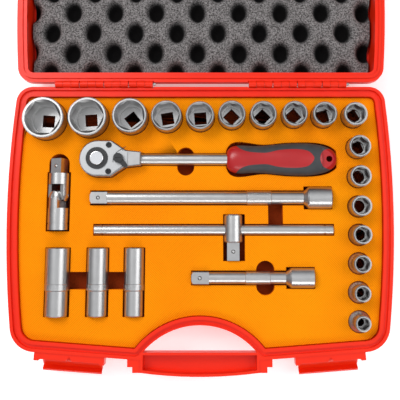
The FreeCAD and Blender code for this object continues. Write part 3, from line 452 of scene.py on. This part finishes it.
def joined_block():
    """The dark layer in one piece, its touching parts joined."""
    low, high = (Vector(corner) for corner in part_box("foam_block"))
    around = bmesh.new()
    bmesh.ops.create_cube(around, size=1.0)
    bmesh.ops.scale(around, vec=(high - low) * 1.2, verts=around.verts)
    bmesh.ops.translate(around, vec=(low + high) / 2, verts=around.verts)
    block = solid_boolean(read_node("foam_block"), around, "INTERSECT", join_own_parts=True)
    bmesh.ops.remove_doubles(block, verts=block.verts, dist=0.01 * MM)
    bmesh.ops.dissolve_limit(block, angle_limit=math.radians(1), verts=block.verts,
                             edges=block.edges)
    return block


block_piece = add_piece("dark_block", joined_block(), "tray", "dark_orange_foam", smooth_deg=35)
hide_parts("foam_block")


# ---- knurled bands on the bars and deep sockets
knurl_end_land, knurl_end_sink = 0.3 * MM, 0.6 * MM


def knurled_sleeve(along, start, length, radius, height, ridges, rows):
    """A band of diamond points round a bar that runs along X or Y."""
    sleeve = bmesh.new()
    around = ridges * 4
    bmesh.ops.create_circle(sleeve, segments=around, radius=radius)
    ring = sleeve.edges[:]
    for _ in range(rows):
        pulled = bmesh.ops.extrude_edge_only(sleeve, edges=ring)["geom"]
        ring = [item for item in pulled if isinstance(item, bmesh.types.BMEdge)]
        bmesh.ops.translate(sleeve, vec=(0, 0, length / rows),
                            verts=[i for i in pulled if isinstance(i, bmesh.types.BMVert)])
    for vert in sleeve.verts:
        turn, share = math.atan2(vert.co.y, vert.co.x), vert.co.z / length
        lean = share * length / radius
        point = abs(math.sin(ridges * (turn + lean) / 2) * math.sin(ridges * (turn - lean) / 2))
        from_end = min(share, 1 - share) * length
        lift = height * (point - 1) if from_end > knurl_end_land else -knurl_end_sink
        grown = (radius + lift) / radius
        vert.co.x, vert.co.y = vert.co.x * grown, vert.co.y * grown
    bmesh.ops.holes_fill(sleeve, edges=[e for e in sleeve.edges if e.is_boundary])
    lay = (Matrix.Rotation(math.radians(90), 4, "Y") if along == "X"
           else Matrix.Rotation(math.radians(90), 4, "X"))
    bmesh.ops.transform(sleeve, matrix=lay, verts=sleeve.verts)
    bmesh.ops.translate(sleeve, vec=start, verts=sleeve.verts)
    return sleeve


bar_knurl_length, bar_knurl_height, bar_knurl_proud = 26 * MM, 0.45 * MM, 0.62 * MM
for bar, from_left, shaft_d in (("extension_long", 163.2, 13.6), ("extension_short", 55.3, 12.9)):
    low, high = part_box(bar)
    start = Vector((low[0] + from_left * MM, (low[1] + high[1]) / 2, (low[2] + high[2]) / 2))
    radius = shaft_d / 2 * MM + bar_knurl_proud
    sleeve = knurled_sleeve("X", start, bar_knurl_length, radius, bar_knurl_height, 24, 62)
    add_piece(bar + "_knurl", sleeve, bar, "satin_chrome", smooth_deg=25)

band_from_rear, band_width = 36.7 * MM, 5.8 * MM
band_height, band_proud = 0.4 * MM, 0.12 * MM
for size in (17, 16, 14):
    name = "deep_socket_%d" % size
    low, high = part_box(name)
    radius = (high[0] - low[0]) / 2 + band_proud
    start = Vector(((low[0] + high[0]) / 2, high[1] - band_from_rear, (low[2] + high[2]) / 2))
    sleeve = knurled_sleeve("Y", start, band_width, radius, band_height, 40, 14)
    add_piece(name + "_knurl", sleeve, name, "satin_chrome", smooth_deg=25)

# ---- the thin sprung edge that shows through the ratchet's cover, beside the lever
lever_pin = Vector(JOINTS["reversing_lever_turn"]["pos_m"])
cover_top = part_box("cover_plate")[1][2]
seam_points = [(7.6, 11.9), (2.4, 9.2), (-2.1, 6.0), (-5.7, 1.4), (-5.5, -4.2)]
seam = bpy.data.curves.new("cover_seam", "CURVE")
seam.dimensions, seam.bevel_depth, seam.bevel_resolution = "3D", 0.34 * MM, 2
line = seam.splines.new("NURBS")
line.points.add(len(seam_points) - 1)
for place, (x, y) in zip(line.points, seam_points):
    place.co = (lever_pin.x + x * MM, lever_pin.y + y * MM, cover_top, 1)
line.order_u, line.use_endpoint_u = 3, True
seam.use_fill_caps = True
seam.materials.append(FINISHES["black_steel"])
seam_piece = bpy.data.objects.new("cover_seam", seam)
bpy.context.scene.collection.objects.link(seam_piece)
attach(seam_piece, "ratchet")

# ---------------------------------------------------------------- camera, light, floor
camera = bpy.data.cameras.new("camera")
camera.sensor_width, camera.lens = 36.0, 63.55
camera.shift_x, camera.shift_y = -0.0425, -0.172
camera.clip_start, camera.clip_end = 0.01, 20.0
eye = bpy.data.objects.new("camera", camera)
eye.location = (0.0173, -0.0191, 0.782)
eye.rotation_euler = (math.radians(8.6), 0, 0)
bpy.context.scene.collection.objects.link(eye)
bpy.context.scene.camera = eye
bpy.context.scene.view_settings.view_transform = "Standard"


def softbox(name, centre, aim, size, power, colour=(1, 1, 1)):
    lamp = bpy.data.lights.new(name, "AREA")
    lamp.shape, lamp.size, lamp.size_y = "RECTANGLE", size[0], size[1]
    lamp.energy, lamp.color = power, colour
    holder = bpy.data.objects.new(name, lamp)
    holder.location = centre
    holder.rotation_euler = (Vector(aim) - Vector(centre)).to_track_quat("-Z", "Y").to_euler()
    bpy.context.scene.collection.objects.link(holder)


softbox("key", (-0.75, 0.75, 1.3), (0, 0.05, 0), (0.9, 0.7), 13)
softbox("fill", (0.95, 0.1, 1.0), (0, 0.05, 0), (0.7, 0.9), 4.5)
softbox("front", (0.1, -1.1, 0.75), (0, 0, 0), (1.0, 0.4), 4.5)

world = bpy.data.worlds.new("studio")
world.use_nodes = True
sky = world.node_tree
direction = sky.nodes.new("ShaderNodeTexCoord")
height = sky.nodes.new("ShaderNodeSeparateXYZ")
tent = sky.nodes.new("ShaderNodeValToRGB")
tent.color_ramp.elements[0].position, tent.color_ramp.elements[1].position = 0.15, 0.95
tent.color_ramp.elements[0].color = (0.16, 0.16, 0.17, 1)
tent.color_ramp.elements[1].color = (0.92, 0.94, 0.97, 1)
sky.links.new(direction.outputs["Generated"], height.inputs[0])
sky.links.new(height.outputs["Z"], tent.inputs["Fac"])
sky.links.new(tent.outputs["Color"], sky.nodes["Background"].inputs["Color"])
sky.nodes["Background"].inputs["Strength"].default_value = 0.85
bpy.context.scene.world = world

sheet = bmesh.new()
bmesh.ops.create_grid(sheet, x_segments=1, y_segments=1, size=3.0)
floor_mesh = bpy.data.meshes.new("floor")
sheet.to_mesh(floor_mesh)
sheet.free()
floor = bpy.data.objects.new("floor", floor_mesh)
floor.location.z = -0.0005
bpy.context.scene.collection.objects.link(floor)
paper = Finish("studio_paper", (0.95, 0.95, 0.95), 0.9, Emission_Color=(1, 1, 1, 1),
               Emission_Strength=0.35)
floor_mesh.materials.append(paper.material)
